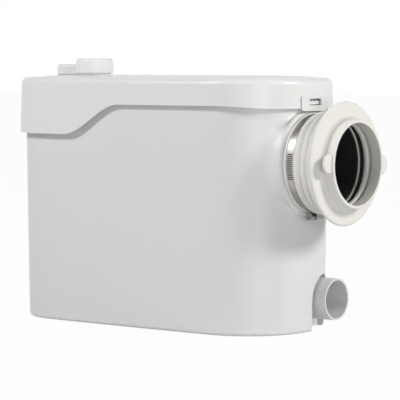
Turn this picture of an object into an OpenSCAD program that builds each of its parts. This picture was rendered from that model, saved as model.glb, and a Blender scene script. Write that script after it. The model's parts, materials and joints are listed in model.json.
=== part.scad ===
// Sewage lifting unit: a moulded tank with a lift-off lid, a flexible pan
// connector on its right end, and a macerator pump that hangs from the lid.
// Lengths are millimetres. X runs along the tank towards the pan connector,
// the broad front face looks along -Y, and the origin is the centre of the
// flat tank bottom.

/* [Tank] */
// Length of the tank at its bottom
tank_l = 360.5; // [354:0.5:380]
// Width between the corner tangents at the bottom
tank_w = 158.4; // [154:0.2:170]
// How far the long sides bow out at mid length
side_bow = 3.7; // [1:0.1:5]
// Height of the tank rim above the floor
tank_h = 246; // [242:1:256]
// Thickness of the tank wall
wall_t = 3.5; // [2.8:0.1:4]
// Thickness of the tank floor
floor_t = 3.5; // [2.5:0.1:5]
// Corner radius at the left end as a share of half the width
left_corner_share = 0.8157; // [0.71:0.01:0.91]
// Corner radius at the right end as a share of half the width
right_corner_share = 0.8838; // [0.81:0.01:0.93]
// Radius along the bottom edge
floor_round = 3.5; // [2:0.1:3.5]

/* [Lid] */
// Height of the lid top above the tank rim
lid_rise = 25.2; // [23:0.2:30]
// Wall thickness of the lid
lid_t = 2.6; // [2:0.1:3]
// How far the skirt stands out from the tank
lid_over = 7; // [6.4:0.1:9]
// Depth of the left part of the skirt below the rim
skirt_deep = 39; // [30:0.5:48]
// Depth of the right part of the skirt below the rim
skirt_shallow = 5.9; // [5:0.1:8]
// Length of the wave between the two parts
wave_l = 78; // [50:1:100]
// Place of the middle of the wave along X
wave_x = -44.5; // [-60:0.5:-30]
// Extra dip of the skirt edge at both ends
end_dip = 3; // [0:0.1:3]
// Radius along the top edge of the lid
lid_round = 5.8; // [3:0.1:6]
// Width of the snap tab on the right end
tab_w = 46; // [36:1:54]
// Width of the window in the snap tab
window_w = 21; // [16:0.5:26]

/* [Pan connector] */
// Depth of the pan inlet axis below the tank rim
inlet_drop = 66; // [65:0.5:69]
// Outer radius of the moulded boss
boss_r = 56.5; // [54.5:0.5:58]
// Inner radius of the tank spigot
spigot_bore_r = 46; // [45:0.1:47]
// Wall of the tank spigot
spigot_t = 2.6; // [2.5:0.1:4]
// Length of the tank spigot from the boss face
spigot_l = 29; // [24:0.5:31]
// Wall of the rubber cuff
cuff_t = 2.1; // [2:0.1:3]
// Distance from boss face to the widest part of the flange
flange_reach = 42.3; // [40:0.1:48]
// Radius of the flange
flange_r = 65.1; // [62:0.1:70]
// Distance from boss face to the collar rim
collar_reach = 59; // [56:0.1:66]
// Inner radius of the collar lip
collar_bore_r = 42.9; // [41:0.1:44]
// Outer radius of the collar rim
collar_r = 44.9; // [44.5:0.1:48]
// Width of the clamp band
band_w = 8.2; // [8:0.1:10]
// Thickness of the clamp band
band_t = 0.7; // [0.6:0.05:1.2]

/* [Side inlet] */
// Bore radius of the side inlet socket
side_bore_r = 20.4; // [18:0.1:20.4]
// Wall of the side inlet socket
side_t = 2; // [1.6:0.1:3]
// Distance of the side inlet axis from the rear side of the tank
side_inset = 45.2; // [43.2:0.5:47.2]
// Height of the side inlet axis
side_z = 33.3; // [33:0.1:36]
// Reach of the socket past the end of the tank
side_reach = 14; // [8:0.5:20]

/* [Caps] */
// Outer radius of both caps
cap_r = 20.7; // [20.6:0.1:22]
// Outer radius of the necks under the caps
neck_r = 18; // [17:0.1:18.2]
// Wall of the necks
neck_t = 2.5; // [2:0.1:3]
// Height of the discharge cap top above the lid
discharge_cap_rise = 18.5; // [17:0.1:24]
// Height of the vent cap top above the lid
vent_cap_rise = 12.1; // [11:0.1:16]
// Place of the discharge neck left of the centre as a share of half the length
discharge_share = 0.4993; // [0.48:0.01:0.53]
// Place of the discharge neck in front of the centre as a share of half the width
discharge_front_share = 0.3788; // [0.35:0.01:0.4]
// Distance of the vent cap axis from the left end of the tank
vent_inset = 28.25; // [28:0.25:32]
// Place of the vent cap along Y
vent_y = 8; // [4:0.5:12]

/* [Pump] */
// Distance of the pump axis from the right end of the tank
pump_inset = 135.25; // [132.25:0.5:138.25]
// Clear space between the tank wall and the macerator basket
basket_gap = 5.7; // [4.7:0.1:9]
// Radius of the motor can as a share of the basket's radius
motor_share = 0.5714; // [0.54:0.01:0.6]
// Length of the motor can
motor_l = 108; // [104:0.5:112]
// Radius of the motor shaft
shaft_r = 5; // [4:0.1:6]
// Radius of the impeller
impeller_r = 34; // [30:0.5:35]
// Number of impeller vanes
vanes = 6; // [4:1:8]
// Outer radius of the discharge pipe
pipe_r = 12; // [11:0.1:12.2]
// Wall of the discharge pipe
pipe_t = 2.5; // [1.8:0.1:3]

/* [Hidden] */
$fn = 64;

// Overrun of every cut, and thickness of the slices that a lofted shell spans
over = 1;
slice_t = 0.02;
// Gap between pieces that move apart, running gap of a shaft, and seat gap of a fixed fit
gap = 0.3;
run_gap = 0.05;
fit_gap = 0.05;

// Rise of the tank wall outwards for each unit of height, and the skirt's fall inwards
draft_share = 0.0122;
flare_share = 0.028;
// Steps on each corner arc and along each bowed side of the outline
corner_steps = 14;
side_steps = 10;

half_l = tank_l / 2;
half_w = tank_w / 2;
left_corner_r = half_w * left_corner_share;
right_corner_r = half_w * right_corner_share;
inlet_z = tank_h - inlet_drop;
side_y = half_w - side_inset;
discharge_x = -half_l * discharge_share;
discharge_y = -half_w * discharge_front_share;
vent_x = vent_inset - half_l;
pump_x = half_l - pump_inset;
basket_r = half_w - wall_t - basket_gap;
motor_r = basket_r * motor_share;
skirt_z = tank_h - skirt_deep;
edge_z = tank_h - skirt_shallow;
lid_top_z = tank_h + lid_rise;
lid_in_z = lid_top_z - lid_t;
lid_crown = 2.8;
crown_share = 0.85;
crown_inset = left_corner_r * crown_share;
crown_drop = lid_crown * 0.3;
lid_edge_z = lid_top_z - lid_crown;
skirt_out = lid_over + draft_share * skirt_z;

// Offset of the tank's outside and of the lid's outside from the bottom outline
function tank_off(z) = draft_share * z;
function lid_off(z) = skirt_out - flare_share * (z - skirt_z);
// End of the tank at a height
function end_x(z) = half_l + tank_off(z);
// Smooth step from 0 to 1
function ease(t) = let (c = max(0, min(1, t))) c * c * (3 - 2 * c);
function mix(a, b, t) = a + (b - a) * t;
function arc(cx, cy, r, a0, a1, n) =
    [for (i = [0:n]) [cx + r * cos(mix(a0, a1, i / n)), cy + r * sin(mix(a0, a1, i / n))]];
// A point of the outline, moved out by the bow of the long side
function bowed(p) =
    [p.x, p.y + sign(p.y) * side_bow * (1 - pow(p.x / half_l, 2)) * min(1, abs(p.y) / half_w)];
function side_line(x0, x1, y) = [for (i = [1:side_steps - 1]) [mix(x0, x1, i / side_steps), y]];
// Outline of the tank at its bottom, moved out by a distance
function plan(o) =
    let (lx = left_corner_r - half_l, rx = half_l - right_corner_r)
    let (ly = half_w - left_corner_r, ry = half_w - right_corner_r)
    [for (p = concat(
        arc(lx, -ly, left_corner_r + o, 180, 270, corner_steps),
        side_line(lx, rx, -half_w - o),
        arc(rx, -ry, right_corner_r + o, 270, 360, corner_steps),
        arc(rx, ry, right_corner_r + o, 0, 90, corner_steps),
        side_line(rx, lx, half_w + o),
        arc(lx, ly, left_corner_r + o, 90, 180, corner_steps))) bowed(p)];

module slab(o, z0, z1) translate([0, 0, z0]) linear_extrude(z1 - z0) polygon(plan(o));
module plan_ring(o_out, o_in, z0, z1) translate([0, 0, z0]) linear_extrude(z1 - z0)
    difference() {
        polygon(plan(o_out));
        polygon(plan(o_in));
    }
// Convex shell through slices, each given as height and offset
module lofted(rings) hull() for (r = rings) slab(r[1], r[0], r[0] + slice_t);

module zcyl(r, z0, z1, x = 0, y = 0) translate([x, y, z0]) cylinder(r = r, h = z1 - z0);
module xcyl(r, x0, x1, y = 0, z = 0)
    translate([x0, y, z]) rotate([0, 90, 0]) cylinder(r = r, h = x1 - x0);
module ycyl(r, y0, y1, x = 0, z = 0)
    translate([x, y1, z]) rotate([90, 0, 0]) cylinder(r = r, h = y1 - y0);
module ztube(ro, ri, z0, z1, x = 0, y = 0) difference() {
    zcyl(ro, z0, z1, x, y);
    zcyl(ri, z0 - over, z1 + over, x, y);
}
module xtube(ro, ri, x0, x1, y = 0, z = 0) difference() {
    xcyl(ro, x0, x1, y, z);
    xcyl(ri, x0 - over, x1 + over, y, z);
}
module block(p0, p1) translate(p0) cube(p1 - p0);
// Clear hole for a screw of the pump set
module screw_hole(z0, z1) zcyl(screw_r + fit_gap, z0 - over, z1 + over);
// Copies placed round a vertical axis
module around(n, x, y, r, a0 = 0) for (i = [0:n - 1])
    translate([x, y, 0]) rotate([0, 0, a0 + i * 360 / n]) translate([r, 0, 0]) children();
// A flat shape drawn in Y and Z, given depth along X
module yz_plate(x0, x1) translate([x0, 0, 0]) rotate([90, 0, 90]) linear_extrude(x1 - x0) children();
// A profile of radius and X turned round the pan inlet axis
module inlet_turned() translate([0, 0, inlet_z]) rotate([0, 90, 0]) rotate_extrude($fn = 96) children();

// Tank places
boss_rise = 2.6;
boss_x = end_x(inlet_z) + boss_rise;
boss_round = 4;
boss_root = boss_x - 3 * boss_round - wall_t * 6;
spigot_r = spigot_bore_r + spigot_t;
spigot_x = boss_x + spigot_l;
spigot_lead = 1.2;
alcove_gap = 3.6;
alcove_r = side_bore_r + side_t + alcove_gap;
alcove_depth = 28;
alcove_x = half_l - alcove_depth;
barb_w = 19;
barb_h = 4.6;
barb_top_gap = 0.1;

// The arched recess round the side inlet, open at the bottom; grown by a wall for the inside
module alcove(grow) {
    x0 = alcove_x - grow;
    x1 = half_l + lid_over;
    xcyl(alcove_r + grow, x0, x1, side_y, side_z);
    block([x0, side_y - alcove_r - grow, -over], [x1, side_y + alcove_r + grow, side_z]);
}

module tank_moulding() {
    round_z = [for (i = [0:4]) floor_round * (1 - cos(i * 22.5))];
    round_o = [for (i = [0:4]) -floor_round * (1 - sin(i * 22.5))];
    outer = concat([for (i = [0:4]) [round_z[i], round_o[i] + tank_off(round_z[i])]],
        [[tank_h - slice_t, tank_off(tank_h)]]);
    inner = [[floor_t, -wall_t], [tank_h + over, tank_off(tank_h) - wall_t]];
    difference() {
        union() {
            difference() {
                lofted(outer);
                difference() {
                    lofted(inner);
                    alcove(wall_t);
                }
                alcove(0);
            }
            tab_barb();
        }
        xcyl(spigot_bore_r, boss_root, boss_x, 0, inlet_z);
        xcyl(side_port_r, alcove_x - wall_t - over, alcove_x + over, side_y, side_z);
    }
}

// Left end, front, back, right end and floor of that one moulding, which meet face to face
left_split_x = left_corner_r - half_l;
right_split_x = half_l - right_corner_r;
floor_lip = 0.6;
floor_inset = floor_round + floor_lip;
module tank_piece(low, high) color([0.84, 0.84, 0.85]) intersection() {
    difference() {
        tank_moulding();
        slab(-floor_inset, -over, floor_t);
    }
    block([low.x, low.y, -over], [high.x, high.y, tank_h + over]);
}
module tank_left() tank_piece([-tank_l, -tank_w], [left_split_x, tank_w]);
module tank_front() tank_piece([left_split_x, -tank_w], [right_split_x, 0]);
module tank_back() tank_piece([left_split_x, 0], [right_split_x, tank_w]);
module tank_right() tank_piece([right_split_x, -tank_w], [tank_l, tank_w]);
module tank_floor() color([0.84, 0.84, 0.85]) intersection() {
    tank_moulding();
    slab(-floor_inset, -over, floor_t);
}

// Boss and spigot of the pan inlet, and the socket of the side inlet, fused to the tank
module inlet_boss() color([0.84, 0.84, 0.85]) difference() {
    low = inlet_z - boss_r - over;
    high = inlet_z + boss_r + over;
    union() {
        inlet_turned() polygon(concat([[spigot_bore_r, boss_root], [boss_r, boss_root]],
            [for (i = [0:4]) [boss_r - boss_round * (1 - cos(i * 22.5)),
                boss_x - boss_round * (1 - sin(i * 22.5))]],
            [[spigot_bore_r, boss_x]]));
        xcyl(spigot_r, boss_x - boss_round, spigot_x - spigot_lead, 0, inlet_z);
        translate([spigot_x - spigot_lead, 0, inlet_z]) rotate([0, 90, 0])
            cylinder(r1 = spigot_r, r2 = spigot_r - spigot_lead, h = spigot_lead);
    }
    lofted([[low, tank_off(low) + fit_gap], [high, tank_off(high) + fit_gap]]);
    xcyl(spigot_bore_r, boss_root - over, spigot_x + over, 0, inlet_z);
    block([boss_root - over, -barb_w / 2 - fit_gap, tank_h - barb_h - barb_top_gap - fit_gap],
        [barb_x + fit_gap, barb_w / 2 + fit_gap, high]);
}
module side_socket() color([0.84, 0.84, 0.85]) difference() {
    xcyl(side_bore_r + side_t, alcove_x + fit_gap, half_l + side_reach, side_y, side_z);
    xcyl(side_bore_r, side_stop_x, half_l + side_reach + over, side_y, side_z);
    xcyl(side_port_r, alcove_x, side_stop_x + over, side_y, side_z);
}
side_stop_l = 6;
side_stop_x = alcove_x + side_stop_l;
side_stop_t = 2.4;
side_port_r = side_bore_r - side_stop_t;

// The wedge that the snap tab's window hooks over
tab_out = 1;
barb_x = half_l + lid_off(tank_h) + tab_out - lid_t - gap;
module tab_barb() translate([0, barb_w / 2, 0]) rotate([90, 0, 0]) linear_extrude(barb_w)
    polygon([[end_x(tank_h) - wall_t, tank_h - barb_top_gap],
        [end_x(tank_h) - wall_t, tank_h - barb_h - barb_top_gap],
        [barb_x, tank_h - barb_h - barb_top_gap],
        [barb_x, tank_h - barb_h / 4 - barb_top_gap],
        [end_x(tank_h), tank_h - barb_top_gap]]);

// Pan connector places
cuff_x = boss_x + gap;
cuff_r = spigot_r + fit_gap + cuff_t;
band_edge = 3.2;
band_x = cuff_x + band_edge;
band_end = band_x + band_w;
flange_x = boss_x + flange_reach;
rim_x = boss_x + collar_reach;
cuff_lip = 1.6;
rib_1_l = 9.4;
rib_2_l = 10;
rib_1_step = 0.6;
rib_2_step = 4;
valley_1_x = band_end + rib_1_l;
valley_2_x = valley_1_x + rib_2_l;
valley_1_r = cuff_r + rib_1_step;
valley_2_r = cuff_r + rib_2_step;
rib_h = 2.6;
flange_t = 3;
flange_face_w = 13;
root_r = flange_r - flange_face_w;
root_round = 7;
lip_round = 0.9;
ridge_t = 3.4;
groove_w = 5.5;
groove_h = 3;
inner_gap = 7.5;
tab_r = 13;
tab_angle = -2.5;
grip_t = 3;
grip_w = 19.5;
grip_back = 3;
// Outside of one rib between two valleys
function rib(x0, r0, x1, r1, h) =
    [for (i = [0:8]) [mix(r0, r1, i / 8) + h * pow(sin(i * 22.5), 0.8), mix(x0, x1, i / 8)]];

module wc_connector() color([0.91, 0.905, 0.885]) {
    in_r = spigot_r + fit_gap;
    open_x = spigot_x + inner_gap;
    ridge_x = open_x + ridge_t;
    groove_x = ridge_x + groove_w;
    root_x = flange_x + flange_t;
    outside = concat(
        [[in_r, cuff_x], [cuff_r, cuff_x], [cuff_r + cuff_lip, cuff_x + cuff_lip / 2]],
        [[cuff_r + cuff_lip, band_x - cuff_lip], [cuff_r, band_x - cuff_lip / 2], [cuff_r, band_end]],
        rib(band_end, cuff_r, valley_1_x, valley_1_r, rib_h),
        rib(valley_1_x, valley_1_r, valley_2_x, valley_2_r, rib_h),
        [[mix(valley_2_r, flange_r, 0.45), mix(valley_2_x, flange_x, 0.35)]],
        [[flange_r - flange_t / 3, flange_x - flange_t / 3], [flange_r, flange_x]],
        [[flange_r - flange_t / 6, flange_x + flange_t / 3]],
        [[flange_r - flange_t / 2, flange_x + flange_t / 2], [root_r, root_x]],
        [for (a = [15:15:75]) [root_r - root_round * sin(a), root_x + root_round * (1 - cos(a))]],
        [[collar_r + lip_round, root_x + root_round * 1.1], [collar_r, rim_x - lip_round]],
        [[(collar_r + collar_bore_r) / 2, rim_x]]);
    inside = [[collar_bore_r, rim_x - lip_round], [collar_bore_r, groove_x],
        [collar_bore_r + groove_h, groove_x - lip_round], [collar_bore_r + groove_h, ridge_x + lip_round],
        [collar_bore_r + lip_round, ridge_x], [collar_bore_r + lip_round, open_x + lip_round],
        [in_r, open_x], [in_r, cuff_x]];
    inlet_turned() polygon(concat(outside, inside));
    for (s = [-1, 1]) difference() {
        translate([0, 0, inlet_z]) rotate([tab_angle, 0, 0])
            yz_plate(rim_x - grip_back - grip_t, rim_x - grip_back)
                translate([s * collar_r, 0]) grip_shape(s);
        xcyl((collar_r + collar_bore_r) / 2, 0, rim_x + over, 0, inlet_z);
    }
}
// Outline of a grip tab with a rounded end
module grip_shape(s) {
    r = grip_w * 0.42;
    mirror([s < 0 ? 1 : 0, 0]) {
        translate([-collar_r * 0.2, -grip_w / 2]) square([collar_r * 0.2 + tab_r - r, grip_w]);
        translate([0, r - grip_w / 2]) square([tab_r, grip_w - 2 * r]);
        for (v = [-1, 1]) translate([tab_r - r, v * (grip_w / 2 - r)]) circle(r = r);
    }
}

// Black sleeve inside the tank spigot, and the lip seal between spigot and connector
sleeve_t = 1.6;
sleeve_back = 1.4;
seal_t = 1.3;
seal_l = 3.4;
module inlet_sleeve() color([0.06, 0.06, 0.065])
    xtube(spigot_bore_r - fit_gap, spigot_bore_r - sleeve_t, half_l - wall_t, spigot_x - sleeve_back,
        0, inlet_z);
module inlet_seal() color([0.05, 0.05, 0.05])
    xtube(spigot_r, spigot_r - seal_t, spigot_x + gap, spigot_x + gap + seal_l, 0, inlet_z);

// Clamp: a band with thread slots, a housing under it and its worm screw
band_gap = 0.05;
band_r = cuff_r + band_gap + band_t;
band_mid = (band_x + band_end) / 2;
slot_pitch = 2;
slot_w = 1;
slot_l = 6.2;
slots = 14;
worm_r = 2.6;
worm_l = 20;
head_r = 4.4;
head_l = 5.5;
housing_l = 15;
housing_t = 1.4;
worm_z = inlet_z - band_r - worm_r - housing_t - gap;

module clamp_band() color([0.78, 0.76, 0.72]) difference() {
    xtube(band_r, band_r - band_t, band_x, band_end, 0, inlet_z);
    for (i = [0:slots - 1]) translate([0, 0, inlet_z])
        rotate([-90 - (i - slots * 0.55) * slot_pitch / band_r * 180 / PI, 0, 0])
            block([band_mid - slot_l / 2, -slot_w / 2, -band_r - over],
                [band_mid + slot_l / 2, slot_w / 2, -band_r + band_t + over]);
}
module clamp_housing() color([0.7, 0.69, 0.66]) difference() {
    union() {
        block([band_mid - worm_r - housing_t, -housing_l / 2, worm_z],
            [band_mid + worm_r + housing_t, housing_l / 2, inlet_z - band_r + housing_t]);
        ycyl(worm_r + housing_t, -housing_l / 2, housing_l / 2, band_mid, worm_z);
    }
    xcyl(band_r + gap / 6, band_x - over, band_end + over, 0, inlet_z);
    ycyl(worm_r + run_gap, -housing_l, housing_l, band_mid, worm_z);
}
module clamp_screw() color([0.72, 0.71, 0.69]) difference() {
    union() {
        ycyl(worm_r, -worm_l / 2, worm_l / 2, band_mid, worm_z);
        translate([band_mid, -worm_l / 2, worm_z]) rotate([90, 0, 0])
            cylinder(r = head_r, h = head_l, $fn = 6);
    }
    block([band_mid - head_r - over, -worm_l / 2 - head_l - over, worm_z - head_slot / 2],
        [band_mid + head_r + over, -worm_l / 2 - head_l + head_slot * 1.5, worm_z + head_slot / 2]);
}
head_slot = 1.2;

// Rubber ring on the tank rim, and the deck that closes the tank
gasket_t = 2;
deck_t = 3;
flange_z = tank_h + gasket_t;
pan_drop = 19;
pan_z = tank_h - pan_drop;
pan_top = pan_z + deck_t;
pan_inset = 6.5;
motor_top = pan_z;
module lid_gasket() color([0.2, 0.2, 0.2])
    plan_ring(tank_off(tank_h), tank_off(tank_h) - wall_t, tank_h, flange_z);

module deck_pan() color([0.33, 0.34, 0.36]) difference() {
    union() {
        slab(tank_off(tank_h), flange_z, flange_z + deck_t - gap);
        slab(-pan_inset, pan_z, flange_z + deck_t - gap);
    }
    slab(-pan_inset - deck_t, pan_top, flange_z + deck_t + over);
    zcyl(pipe_r + gap, pan_z - over, pan_top + over, discharge_x, discharge_y);
    zcyl(bell_neck_r + gap, pan_z - over, pan_top + over, bell_x, bell_y);
    around(4, pump_x, 0, motor_screw_r, motor_screw_angle) screw_hole(pan_z, pan_top);
    around(4, pump_x, 0, basket_screw_r, 0) screw_hole(pan_z, pan_top);
}

// Lid with its wave skirt, snap tab, vent neck and openings
tab_slit = 0.9;
tab_rise = 1.2;
tab_drop = 11.4;
tab_top_z = tank_h + tab_rise;
tab_low_z = tank_h - tab_drop;
tab_corner = 3.4;
window_h = 7;
window_top_gap = 1.4;
window_z = tank_h + window_top_gap - window_h;
seat_t = 2.2;
dip_share = 0.7;
wave_steps = 18;
vent_lip = 2.4;
vent_drop = 24;
vent_neck_rise = 9;
neck_bore_r = neck_r - neck_t;
gland_x = -60;
gland_drop = 10.3;
gland_z = lid_in_z - gland_drop;
gland_body_r = 6.5;

// Height of the skirt's lower edge along X
function skirt_edge(x) = skirt_z + (edge_z - skirt_z) * ease((x - wave_x) / wave_l + 1 / 2)
    - end_dip * ease((abs(x) / half_l - dip_share) / (1 - dip_share));
module below_skirt() {
    xs = concat([-half_l * 1.2], [for (i = [0:6]) -half_l * mix(1, dip_share, i / 6)],
        [for (i = [0:wave_steps]) wave_x + wave_l * (i / wave_steps - 1 / 2)],
        [for (i = [0:6]) half_l * mix(dip_share, 1, i / 6)], [half_l * 1.2]);
    translate([0, tank_w, 0]) rotate([90, 0, 0]) linear_extrude(2 * tank_w)
        polygon(concat([for (x = xs) [x, skirt_edge(x)]],
            [[half_l * 1.2, skirt_z - skirt_deep], [-half_l * 1.2, skirt_z - skirt_deep]]));
}
module tab_shape(w, z0, z1) {
    translate([-w / 2, z0 + tab_corner]) square([w, z1 - z0 - tab_corner]);
    translate([tab_corner - w / 2, z0]) square([w - 2 * tab_corner, z1 - z0]);
    for (s = [-1, 1]) translate([s * (w / 2 - tab_corner), z0 + tab_corner]) circle(r = tab_corner);
}

module lid_moulding() {
    outer = concat([[skirt_z, lid_off(skirt_z)]],
        [for (i = [0:4]) [lid_edge_z - lid_round * (1 - sin(i * 22.5)),
            lid_off(lid_edge_z) - lid_round * (1 - cos(i * 22.5))]],
        [[lid_top_z - crown_drop, -crown_inset / 2], [lid_top_z - slice_t, -crown_inset]]);
    inner = [[skirt_z - over, lid_off(skirt_z - over) - lid_t],
        [lid_edge_z - lid_round, lid_off(lid_edge_z - lid_round) - lid_t],
        [lid_edge_z - lid_t - slice_t, ring_off],
        [lid_in_z - crown_drop, -crown_inset / 2], [lid_in_z - slice_t, -crown_inset]];
    difference() {
        union() {
            difference() {
                lofted(outer);
                lofted(inner);
                below_skirt();
                yz_plate(half_l - tab_w / 2, half_l + tab_w) translate([-tab_w / 2 - tab_slit, 0])
                    square([tab_w + 2 * tab_slit, tab_top_z]);
            }
            intersection() {
                plan_ring(lid_off(tank_h) + tab_out, lid_off(tank_h) + tab_out - lid_t, tab_low_z,
                    tab_top_z + tab_corner);
                yz_plate(half_l - tab_w / 2, half_l + tab_w)
                    tab_shape(tab_w, tab_low_z, tab_top_z + tab_corner);
            }
            zcyl(cap_r, lid_edge_z - lid_t, lid_top_z, vent_x, vent_y);
        }
        yz_plate(half_l, half_l + tab_w) translate([-window_w / 2, window_z]) square([window_w, window_h]);
        zcyl(neck_r + fit_gap, lid_edge_z - lid_t - over, lid_top_z + over, vent_x, vent_y);
        zcyl(neck_r + gap, lid_edge_z - lid_t - over, lid_top_z + over, discharge_x, discharge_y);
        ycyl(gland_body_r + fit_gap, half_w - lid_over, half_w + 2 * lid_over + side_bow, gland_x, gland_z);
        ycyl(gland_head_r + fit_gap, gland_y, gland_y + lid_over, gland_x, gland_z);
    }
}

// Cover plate and skirt of that one moulding, which meet face to face
lid_split_z = lid_edge_z - lid_round;
module lid_slab(low, high) block([-tank_l, -tank_w, low], [tank_l, tank_w, high]);
module lid_shell() color([0.87, 0.87, 0.875]) intersection() {
    lid_moulding();
    lid_slab(lid_split_z, lid_top_z + over);
}
module lid_skirt() color([0.87, 0.87, 0.875]) intersection() {
    lid_moulding();
    lid_slab(skirt_z - over, lid_split_z);
}

// Ring under the lid that stands on the deck, and the tube of the vent with the filter's seat
ring_off = lid_off(lid_edge_z) - lid_round;
module lid_ring() color([0.8, 0.8, 0.805]) difference() {
    plan_ring(ring_off, ring_off - seat_t, flange_z + deck_t - gap, lid_edge_z - lid_t - slice_t);
    ycyl(gland_body_r + fit_gap, half_w - lid_over, half_w + lid_over + side_bow, gland_x, gland_z);
}
module vent_neck() color([0.86, 0.86, 0.865]) difference() {
    zcyl(neck_r, lid_in_z - vent_drop, lid_top_z + vent_neck_rise, vent_x, vent_y);
    zcyl(neck_bore_r, lid_in_z - vent_drop + vent_lip, lid_top_z + vent_neck_rise + over, vent_x, vent_y);
    zcyl(neck_bore_r - vent_lip, lid_in_z - vent_drop - over, lid_top_z, vent_x, vent_y);
}

// Discharge neck, its cap, the vent cap and the carbon filter
neck_foot = 3;
cap_t = 2.4;
neck_top = lid_top_z + discharge_cap_rise - cap_t - gap;
cap_round = 3.4;
cap_grip_gap = 1.9;
valve_r = 21;
valve_h = 30;
valve_top = pan_top + valve_h;
module discharge_neck() color([0.86, 0.86, 0.865]) difference() {
    union() {
        zcyl(neck_r, valve_top, neck_top, discharge_x, discharge_y);
        zcyl(valve_r, valve_top, valve_top + neck_foot, discharge_x, discharge_y);
    }
    zcyl(neck_bore_r, valve_top - over, neck_top + over, discharge_x, discharge_y);
}
// A push-on cap with a rounded top edge, between two heights
module push_cap(z0, z1, x, y) difference() {
    union() {
        zcyl(cap_r, z0, z1 - cap_round, x, y);
        translate([x, y, z1 - cap_round]) rotate_extrude() {
            square([cap_r - cap_round, cap_round]);
            intersection() {
                translate([cap_r - cap_round, 0]) circle(r = cap_round);
                square([cap_r, cap_round]);
            }
        }
    }
    zcyl(neck_r + gap, z0 - over, z1 - cap_t, x, y);
}
module discharge_cap() color([0.89, 0.89, 0.89])
    push_cap(lid_top_z + cap_grip_gap, lid_top_z + discharge_cap_rise, discharge_x, discharge_y);
module vent_cap() color([0.89, 0.89, 0.89])
    push_cap(lid_top_z + gap, lid_top_z + vent_cap_rise, vent_x, vent_y);
module vent_filter() color([0.15, 0.15, 0.16])
    zcyl(neck_bore_r - gap, lid_in_z - vent_drop + vent_lip, lid_top_z, vent_x, vent_y);

// Cable gland in the rear of the skirt, and its nut inside
gland_bore_r = 3.6;
gland_head_r = 8.4;
gland_head_l = 12;
gland_spot = 0.4;
gland_nut_r = 8.2;
gland_nut_l = 4;
gland_y = half_w + side_bow * (1 - pow(gland_x / half_l, 2)) + lid_off(gland_z) - gland_spot;
seat_y = gland_y + gland_spot - lid_off(gland_z) + ring_off - seat_t;
module cable_gland() color([0.3, 0.3, 0.31]) difference() {
    union() {
        ycyl(gland_body_r, seat_y - gland_nut_l - gap, gland_y, gland_x, gland_z);
        ycyl(gland_head_r, gland_y, gland_y + gland_head_l * 0.35, gland_x, gland_z);
        translate([gland_x, gland_y, gland_z]) rotate([-90, 0, 0])
            cylinder(r1 = gland_head_r, r2 = gland_body_r, h = gland_head_l);
    }
    ycyl(gland_bore_r, seat_y - gland_nut_l - over, gland_y + gland_head_l + over, gland_x, gland_z);
}
module gland_nut() color([0.3, 0.3, 0.31]) difference() {
    translate([gland_x, seat_y - gland_spot / 2, gland_z]) rotate([90, 0, 0])
        cylinder(r = gland_nut_r, h = gland_nut_l, $fn = 6);
    ycyl(gland_body_r + fit_gap, seat_y - gland_nut_l - over, seat_y + over, gland_x, gland_z);
}

// Motor, from the deck down
can_t = 2;
can_flange_t = 3;
can_flange_w = 8;
motor_screw_r = motor_r + can_flange_w / 2;
motor_low = motor_top - motor_l;
can_floor = motor_low + can_t * 1.5;
bearing_r = 11;
bearing_h = 8;
hub_t = 3;
core_r = motor_r - can_t - gap;
core_bore_share = 0.5915;
core_bore_r = core_r * core_bore_share;
core_rise = 24;
core_low = motor_low + core_rise;
core_h = 48;
coil_step = 2;
coil_r = core_r - coil_step;
coil_h = 11;
air_gap = 0.8;
bracket_gap = 2;
bracket_z = core_low + core_h + coil_h + bracket_gap;
screw_r = 1.6;
screw_head_r = 3.2;
screw_head_h = 2.2;
module motor_can() color([0.13, 0.13, 0.14]) difference() {
    union() {
        zcyl(motor_r, motor_low, motor_top, pump_x);
        zcyl(motor_r + can_flange_w, motor_top - can_flange_t, motor_top, pump_x);
    }
    difference() {
        zcyl(motor_r - can_t, can_floor, motor_top + over, pump_x);
        zcyl(bearing_r + hub_t, motor_low, can_floor + bearing_h, pump_x);
    }
    zcyl(bearing_r + fit_gap, can_floor, can_floor + bearing_h + over, pump_x);
    zcyl(seal_r + fit_gap, motor_low - over, motor_top, pump_x);
    around(4, pump_x, 0, motor_screw_r, motor_screw_angle) screw_hole(motor_top - can_flange_t, motor_top);
}
seal_w = 3;
seal_r = shaft_r + seal_w;
module shaft_seal() color([0.1, 0.1, 0.1])
    ztube(seal_r, shaft_r + run_gap, motor_low, can_floor, pump_x);
module lower_bearing() color([0.7, 0.7, 0.72])
    ztube(bearing_r, shaft_r + run_gap, can_floor, can_floor + bearing_h, pump_x);
module upper_bearing() color([0.7, 0.7, 0.72])
    ztube(bearing_r, shaft_r + run_gap, bracket_z + hub_t / 2, bracket_z + hub_t / 2 + bearing_h, pump_x);
module motor_bracket() color([0.6, 0.6, 0.62]) difference() {
    union() {
        zcyl(core_r, bracket_z, bracket_z + hub_t, pump_x);
        zcyl(bearing_r + hub_t, bracket_z, bracket_z + bearing_h + hub_t, pump_x);
    }
    zcyl(bearing_r + fit_gap, bracket_z + hub_t / 2, bracket_z + bearing_h + hub_t + over, pump_x);
    zcyl(shaft_r + gap, bracket_z - over, bracket_z + hub_t, pump_x);
}
module stator_core() color([0.45, 0.46, 0.48])
    ztube(core_r, core_bore_r, core_low, core_low + core_h, pump_x);
module stator_windings() color([0.72, 0.42, 0.2]) {
    ztube(coil_r, core_bore_r + 2 * air_gap, core_low - coil_h, core_low, pump_x);
    ztube(coil_r, core_bore_r + 2 * air_gap, core_low + core_h, core_low + core_h + coil_h, pump_x);
}
volute_low = 14;
shaft_foot = 7;
shaft_low = volute_low + shaft_foot;
shaft_top = bracket_z + bearing_h + hub_t * 2;
module motor_shaft() color([0.75, 0.75, 0.77]) zcyl(shaft_r, shaft_low, shaft_top, pump_x);
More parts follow.
